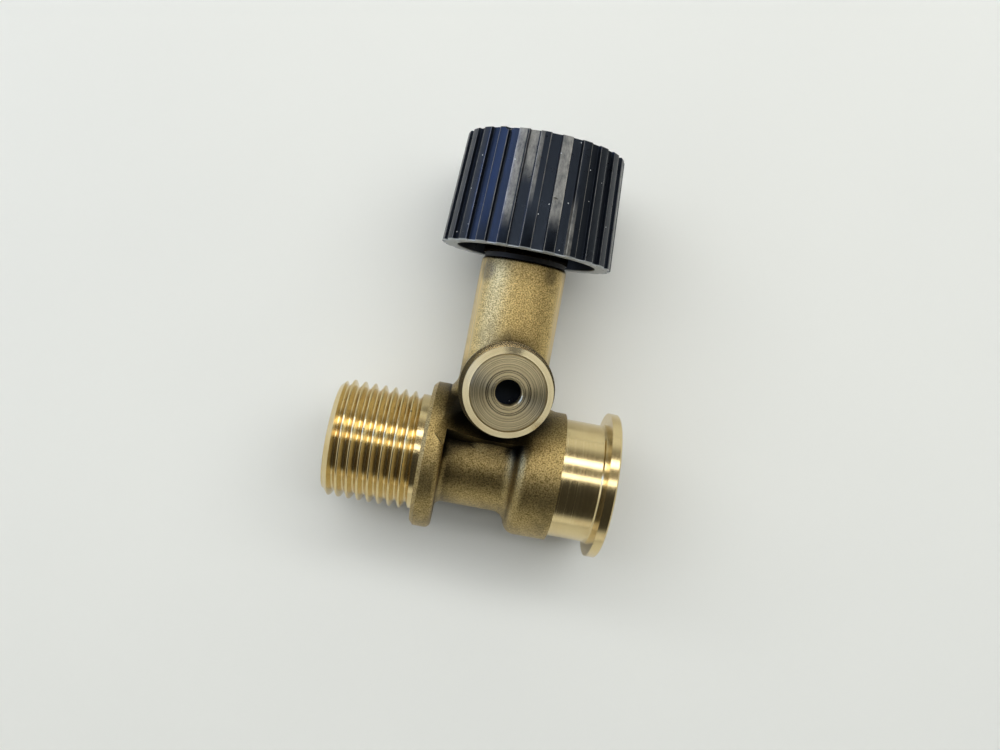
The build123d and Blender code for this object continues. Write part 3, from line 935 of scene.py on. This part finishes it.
@dataclass
class Knob:
    """The hand knob: a tapered skirt with ribs and grooves, hollow below, dished on top, nicked by use."""

    rib_count: int = 24
    facets_per_pitch: int = 8
    rib_phase: float = math.radians(3.75)
    base_radius: float = 15.15 * MM
    top_radius: float = 14.0 * MM
    groove_depth: float = 0.65 * MM
    corner_radius: float = 0.12 * MM
    corner_steps: int = 2
    corner_angle: float = math.radians(40)
    end_facing: float = 0.9
    top_round: float = 0.3 * MM
    rim_round: float = 0.25 * MM
    wall: float = 2.75 * MM
    roof: float = 3.6 * MM
    hub_radius: float = 5.0 * MM
    hub_height: float = 5.5 * MM
    hub_bore: float = 3.2 * MM
    screw_bore: float = 1.6 * MM
    web: float = 1.6 * MM
    pocket_radius: float = 3.6 * MM
    dish_radius: float = 10.0 * MM
    dish_depth: float = 0.7 * MM
    overshoot: float = 2.0 * MM
    round_steps: int = 6
    turn_steps: int = 96
    nick_steps: int = 3
    nick_flatness: float = 0.6
    nicks: Sequence[Nick] = (
        Nick(-30.0, 19.2 * MM, 0.9 * MM, 1.6 * MM),
        Nick(9.5, 8.75 * MM, 0.3 * MM, 0.9 * MM),
        Nick(18.5, 8.75 * MM, 0.32 * MM, 0.8 * MM),
        Nick(-24.7, 2.6 * MM, 0.25 * MM, 0.7 * MM),
        Nick(4.5, 18.9 * MM, 0.35 * MM, 0.8 * MM),
        Nick(47.0, 19.2 * MM, 0.4 * MM, 1.0 * MM),
    )
    scuffs: Sequence[Scuff] = (
        Scuff(-22.0, -17.0, 7.0 * MM, 19.3 * MM, 0.62),
        Scuff(-14.3, -9.0, 15.0 * MM, 19.3 * MM, 0.66),
        Scuff(-7.2, -5.0, 11.0 * MM, 17.0 * MM, 0.4),
        Scuff(8.4, 14.6, 8.0 * MM, 19.3 * MM, 0.66),
        Scuff(22.6, 25.0, 1.0 * MM, 5.5 * MM, 0.4),
        Scuff(70.0, 72.0, 2.0 * MM, 15.0 * MM, 0.5),
    )

    def __post_init__(self) -> None:
        """Read the knob's ends and its screw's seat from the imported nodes."""
        low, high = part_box("knob")
        self.bottom, self.top = low.y, high.y
        self.screw_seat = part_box("knob_screw_washer")[0].y
        self.cavity_roof = self.top - self.roof

    def in_groove(self, centre: Vector) -> bool:
        """Say whether a place on the skirt lies in a groove.

        Args:
            centre: the place.

        Returns:
            Whether it does.
        """
        pitch = math.tau / self.rib_count
        phase = (math.atan2(centre.x, centre.z) - self.rib_phase) / pitch
        return abs(phase - round(phase)) < GROOVE_SHARE

    def skirt(self) -> bpy.types.Object:
        """Model the ribbed and tapered outside as a closed solid.

        Returns:
            The new object.
        """
        height = self.top - self.bottom
        middle = (self.bottom + self.top) / 2
        bpy.ops.object.select_all(action="DESELECT")
        bpy.ops.mesh.primitive_cylinder_add(
            vertices=self.rib_count * self.facets_per_pitch, radius=self.base_radius, depth=height,
            end_fill_type="NOTHING", location=(0, middle, 0), rotation=(-math.pi / 2, self.rib_phase, 0))
        skirt = bpy.context.object
        skirt.name = "ribbed_knob"
        settle(skirt)
        taper = self.top_radius / self.base_radius
        with editing(skirt, Element.VERTEX) as mesh:
            pick(skirt, mesh.verts, lambda v: v.co.y > middle)
            bpy.ops.transform.resize(value=(taper, 1, taper), center_override=(0, self.top, 0))
        with editing(skirt, Element.FACE) as mesh:
            pick(skirt, mesh.faces, lambda f: self.in_groove(f.calc_center_median()))
            bpy.ops.mesh.extrude_region_shrink_fatten(
                TRANSFORM_OT_shrink_fatten={"value": -self.groove_depth, "use_even_offset": True})
        with editing(skirt, Element.FACE) as mesh:
            pick(skirt, mesh.faces, lambda f: abs(f.normal.y) > self.end_facing)
            bpy.ops.mesh.delete(type="FACE")
        with editing(skirt, Element.EDGE) as mesh:
            pick(skirt, mesh.edges, lambda e: e.is_manifold and e.calc_face_angle() > self.corner_angle)
            bpy.ops.mesh.bevel(offset=self.corner_radius, segments=self.corner_steps, affect="EDGES",
                               clamp_overlap=True)
        for end in (self.bottom, self.top):
            with editing(skirt, Element.EDGE) as mesh:
                pick(skirt, mesh.edges, lambda e: e.is_boundary and abs(e.verts[0].co.y - end) < height / 4)
                bpy.ops.mesh.edge_face_add()
        heal(skirt)
        return skirt

    def envelope(self) -> bpy.types.Object:
        """Model the round form that eases the ribs' ends.

        Returns:
            A turned solid as wide as the ribs, with rounded ends.
        """
        outline = [(self.bottom, 0.0)]
        for radius, end, edge, turn in (
            (self.rim_round, self.bottom, self.base_radius, 1),
            (self.top_round, self.top, self.top_radius, -1),
        ):
            arc = [
                (end + turn * (radius - radius * math.cos(a)), edge - radius + radius * math.sin(a))
                for a in (math.pi / 2 * i / self.round_steps for i in range(self.round_steps + 1))
            ]
            outline += arc if turn > 0 else arc[::-1]
        outline.append((self.top, 0.0))
        return turned_solid("knob_envelope", outline, self.turn_steps * 2)

    def hollows(self) -> list[bpy.types.Object]:
        """Model the spaces inside the knob.

        Returns:
            The cavity round the hub, and the stepped hole through the hub with the dish above it.
        """
        out = self.overshoot
        hub_bottom = self.bottom + self.hub_height
        web_bottom = self.screw_seat - self.web
        dish_floor = self.top - self.dish_depth
        cavity = [
            (self.bottom - out, 0.0),
            (self.bottom - out, self.base_radius - self.wall),
            (self.bottom, self.base_radius - self.wall),
            (self.cavity_roof, self.top_radius - self.wall),
            (self.cavity_roof, self.hub_radius),
            (hub_bottom, self.hub_radius),
            (hub_bottom, 0.0),
        ]
        bore = [
            (hub_bottom - out, 0.0),
            (hub_bottom - out, self.hub_bore),
            (web_bottom, self.hub_bore),
            (web_bottom, self.screw_bore),
            (self.screw_seat, self.screw_bore),
            (self.screw_seat, self.pocket_radius),
            (dish_floor, self.pocket_radius),
            (dish_floor, self.dish_radius),
            (self.top + out, self.dish_radius),
            (self.top + out, 0.0),
        ]
        return [
            turned_solid("knob_cavity", cavity, self.turn_steps),
            turned_solid("knob_bore", bore, self.turn_steps),
        ]

    def nick_tool(self, nick: Nick) -> bpy.types.Object:
        """Model a small blunt tool that leaves one nick.

        Args:
            nick: where the tool strikes, and how deep.

        Returns:
            A flattened ball that reaches into the skirt.
        """
        share = nick.height / (self.top - self.bottom)
        skin = self.base_radius + (self.top_radius - self.base_radius) * share
        turn = math.radians(nick.angle_deg)
        reach = skin + nick.width / 2 - nick.depth
        place = Vector((math.sin(turn) * reach, self.bottom + nick.height, math.cos(turn) * reach))
        bpy.ops.object.select_all(action="DESELECT")
        bpy.ops.mesh.primitive_ico_sphere_add(
            subdivisions=self.nick_steps, radius=nick.width / 2, location=place)
        tool = bpy.context.object
        tool.scale = (1.0, self.nick_flatness, 1.0)
        settle(tool)
        return tool

    def build(self) -> bpy.types.Object:
        """Model and dress the knob.

        Returns:
            The finished piece.
        """
        knob = self.skirt()
        combine(knob, self.envelope(), Cut.COMMON)
        for hollow in self.hollows():
            combine(knob, hollow, Cut.AWAY)
        for nick in self.nicks:
            combine(knob, self.nick_tool(nick), Cut.AWAY)
        heal(knob)
        smooth(knob)
        knob.data.materials.clear()
        nylon = MouldedBlack(rim_height=self.bottom, rib_pitch=math.tau / self.rib_count,
                             rib_phase=self.rib_phase, scuffs=self.scuffs)
        knob.data.materials.append(nylon.material())
        give(knob, "spindle", "black_plastic", "knob")
        return knob


@dataclass
class InnerParts:
    """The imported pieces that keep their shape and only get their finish."""

    boss_centre: tuple[float, float, float]

    def dress(self) -> dict[str, Finish]:
        """Give each piece its finish.

        Returns:
            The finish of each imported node.
        """
        on_boss = TurnedBrass(
            "turned_brass_insert", TurnAxis.BOSS, self.boss_centre, "E2D2A6", "B09A6E", mark_size=0.13 * MM,
            mark_depth=0.006 * MM, mark_tone=0.75, stain_size=4.0 * MM, roughness=0.3, stretch=0.85)
        # The gland nut sits in deep shade inside the knob; its dark brown colour is painted shade, not the
        # brass's own tone
        gland_painted_dark = TurnedBrass("gland_brass_painted_dark", TurnAxis.STEM, colour="4A3C26", stain_colour="2A2218")
        finishes = {
            "outlet_insert": on_boss,
            "gland_nut": gland_painted_dark,
            "spindle": STEM_BRASS,
            "jumper": STEM_BRASS,
            "washer_screw": STEM_BRASS,
            "gland_washer": RUBBER,
            "check_poppet": MouldedBlack("moulded_black_acetal"),
            "knob_screw": STEEL,
            "knob_screw_washer": STEEL,
            "check_spring": STEEL,
            "spindle_o_ring_lower": RUBBER,
            "spindle_o_ring_upper": RUBBER,
            "seat_washer": RUBBER,
            "check_seal": RUBBER,
            "insert_o_ring": RUBBER,
        }
        for node, finish in finishes.items():
            mesh = frame["nodes"][node].data
            mesh.materials.clear()
            mesh.materials.append(finish.material())
        return finishes


@dataclass(frozen=True)
class TableTop(Finish):
    """Pale painted board, dull: an even light grey with a breath of green and hardly any pattern."""

    name: str = "pale_painted_board"
    colour: str = "E6E8E3"
    other_colour: str = "DEE0DC"
    patch_size: float = 90 * MM
    roughness: float = 0.6

    def shade(self, tree: Tree) -> bpy.types.Node:
        """Build the nodes.

        Args:
            tree: the material's empty node tree.

        Returns:
            The shader node.
        """
        place = add_node(tree, "ShaderNodeTexCoord", {}).outputs["Object"]
        patches = add_node(tree, "ShaderNodeTexNoise", {"Vector": place, "Scale": 1 / self.patch_size})
        colour = add_node(tree, "ShaderNodeMix", {
            0: patches.outputs["Fac"], 6: linear(self.colour), 7: linear(self.other_colour),
        }, data_type="RGBA")
        return add_node(tree, "ShaderNodeBsdfPrincipled", {
            "Base Color": colour.outputs[2], "Roughness": self.roughness})


@dataclass(frozen=True)
class SoftLight:
    """A rectangular light that lies along the run, or else faces the middle of the part."""

    name: str
    lean_deg: float
    distance: float
    shift: float
    size: Span
    power: float
    colour: str = "FFFFFF"
    along_run: bool = True
    shines: bool = True
    mirrored: bool = True

    def hang(self) -> None:
        """Hang the light above the run, leaning over towards the knob, and shift it along the run."""
        lean = math.radians(self.lean_deg)
        place = Vector((self.shift, math.sin(lean) * self.distance, math.cos(lean) * self.distance))
        bpy.ops.object.light_add(type="AREA", location=place)
        lamp = bpy.context.object
        lamp.name = self.name
        lamp.rotation_euler = (-lean, 0, 0) if self.along_run else place.to_track_quat("Z", "Y").to_euler()
        lamp.data.shape = "RECTANGLE"
        lamp.data.size, lamp.data.size_y = self.size
        lamp.data.color = linear(self.colour)[:3]
        lamp.data.energy = self.power
        lamp.visible_diffuse = self.shines
        lamp.visible_glossy = self.mirrored


@dataclass
class Studio:
    """The table top, the soft light and the camera."""

    focal_length_px: float = 900.0
    image_width_px: float = 1000.0
    sensor_width: float = 36.0
    clip: Span = (0.005, 100.0)
    camera_turn: tuple[float, float, float] = (2.15, 1.75, -10.69)
    subject_from_camera: tuple[float, float, float] = (-2.385 * MM, -15.9 * MM, -161.37 * MM)
    floor_size: float = 8.0
    lights: Sequence[SoftLight] = (
        SoftLight("near_strip", 13.5, 1.0, -0.3, (2.6, 0.15), 4.0),
        SoftLight("far_strip", 43.0, 1.0, -0.3, (2.6, 0.22), 6.8),
        SoftLight("white_ceiling", 31.33, 1.346, -0.15, (3.2, 0.6), 8.6, mirrored=False),
        SoftLight("side_window", 36.12, 0.554, -1.064, (0.6, 0.75), 4.0, "2E8AFF", False, False),
    )
    horizon: str = "ECEEEA"
    dim_side: str = "3A3833"
    far_side: str = "86837B"
    left_side: str = "D2D8DE"
    left_glow: str = "F0F6FF"
    left_glow_gain: float = 1.9
    right_side: str = "A6A49E"
    low_sky: Span = (0.12, 0.4)
    left_span: Span = (-0.35, -0.8)
    left_glow_span: Span = (-0.94, -0.985)
    right_span: Span = (0.4, 0.85)

    def floor(self) -> None:
        """Lay the table top under the collar, the flange and the knob's rim."""
        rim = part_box("knob")[0]
        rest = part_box("valve_body")[0].z
        lean = math.atan2(rim.z - rest, rim.y)
        bpy.ops.object.select_all(action="DESELECT")
        bpy.ops.mesh.primitive_plane_add(size=self.floor_size, location=(0, 0, rest / math.cos(lean)),
                                         rotation=(lean, 0, 0))
        table = bpy.context.object
        table.name = "table_top"
        table.data.materials.append(TableTop().material())

    def room(self) -> None:
        """Light the room: pale low down and on the left, dim overhead, brighter on the far side."""
        world = bpy.context.scene.world or bpy.data.worlds.new("room")
        bpy.context.scene.world = world
        world.use_nodes = True
        tree = world.node_tree
        tree.nodes.clear()
        direction = add_node(tree, "ShaderNodeTexCoord", {}).outputs["Generated"]
        parts = add_node(tree, "ShaderNodeSeparateXYZ", {"Vector": direction})
        lean = add_node(tree, "ShaderNodeMath", {
            0: parts.outputs["Y"], 1: parts.outputs["Z"]}, operation="ARCTAN2")
        # From the near horizon (0) over the top to the far horizon (1)
        side = add_node(tree, "ShaderNodeMapRange", {
            "Value": lean.outputs[0], "From Min": -math.pi / 2, "From Max": math.pi / 2})
        overhead = add_node(tree, "ShaderNodeValToRGB", {"Fac": side.outputs[0]}, stops=(
            (0.06, linear(self.horizon)),
            (0.15, linear(self.dim_side)),
            (0.52, linear(self.dim_side)),
            (0.56, linear(self.far_side)),
            (0.84, linear(self.far_side)),
            (0.97, linear(self.horizon)),
        ))
        height = add_node(tree, "ShaderNodeMapRange", {
            "Value": parts.outputs["Z"], "From Min": self.low_sky[0], "From Max": self.low_sky[1]},
            interpolation_type="SMOOTHSTEP")
        sky = add_node(tree, "ShaderNodeMix", {
            0: height.outputs[0], 6: linear(self.horizon), 7: overhead.outputs[0]}, data_type="RGBA")
        walls = sky.outputs[2]
        glow = tuple(share * self.left_glow_gain for share in linear(self.left_glow))
        for (start, end), wall in (
            (self.left_span, linear(self.left_side)),
            (self.left_glow_span, glow),
            (self.right_span, linear(self.right_side)),
        ):
            sideward = add_node(tree, "ShaderNodeMapRange", {
                "Value": parts.outputs["X"], "From Min": start, "From Max": end},
                interpolation_type="SMOOTHSTEP")
            walls = add_node(tree, "ShaderNodeMix", {
                0: sideward.outputs[0], 6: walls, 7: wall}, data_type="RGBA").outputs[2]
        light = add_node(tree, "ShaderNodeBackground", {"Color": walls, "Strength": 1.0})
        add_node(tree, "ShaderNodeOutputWorld", {"Surface": light.outputs[0]})

    def camera(self) -> None:
        """Set the camera where the photograph was taken from."""
        turn_x, turn_y, turn_z = (math.radians(a) for a in self.camera_turn)
        turn = Matrix.Rotation(turn_y, 4, "Y") @ Matrix.Rotation(turn_x, 4, "X")
        view = Matrix.Translation(self.subject_from_camera) @ Matrix.Rotation(turn_z, 4, "Z") @ turn
        bpy.ops.object.camera_add()
        camera = bpy.context.object
        camera.name = "photo_camera"
        camera.matrix_world = view.inverted()
        camera.data.sensor_width = self.sensor_width
        camera.data.lens = self.focal_length_px / self.image_width_px * self.sensor_width
        camera.data.clip_start, camera.data.clip_end = self.clip
        bpy.context.scene.camera = camera

    def build(self) -> None:
        """Set up the whole studio."""
        self.floor()
        for light in self.lights:
            light.hang()
        self.room()
        self.camera()
        bpy.context.scene.view_settings.view_transform = "Standard"


def main() -> None:
    """Build the valve and its studio in order, and report each piece."""
    logging.basicConfig(level=logging.INFO, format="%(name)s: %(message)s")
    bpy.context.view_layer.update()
    body = ValveBody()
    for piece in (body.build(), Knob().build()):
        LOG.info("%s: %d faces", piece.name, len(piece.data.polygons))
    for node, finish in InnerParts(tuple(body.boss_centre)).dress().items():
        LOG.info("%s: %s", node, finish.name)
    Studio().build()


if __name__ == "__main__":
    main()
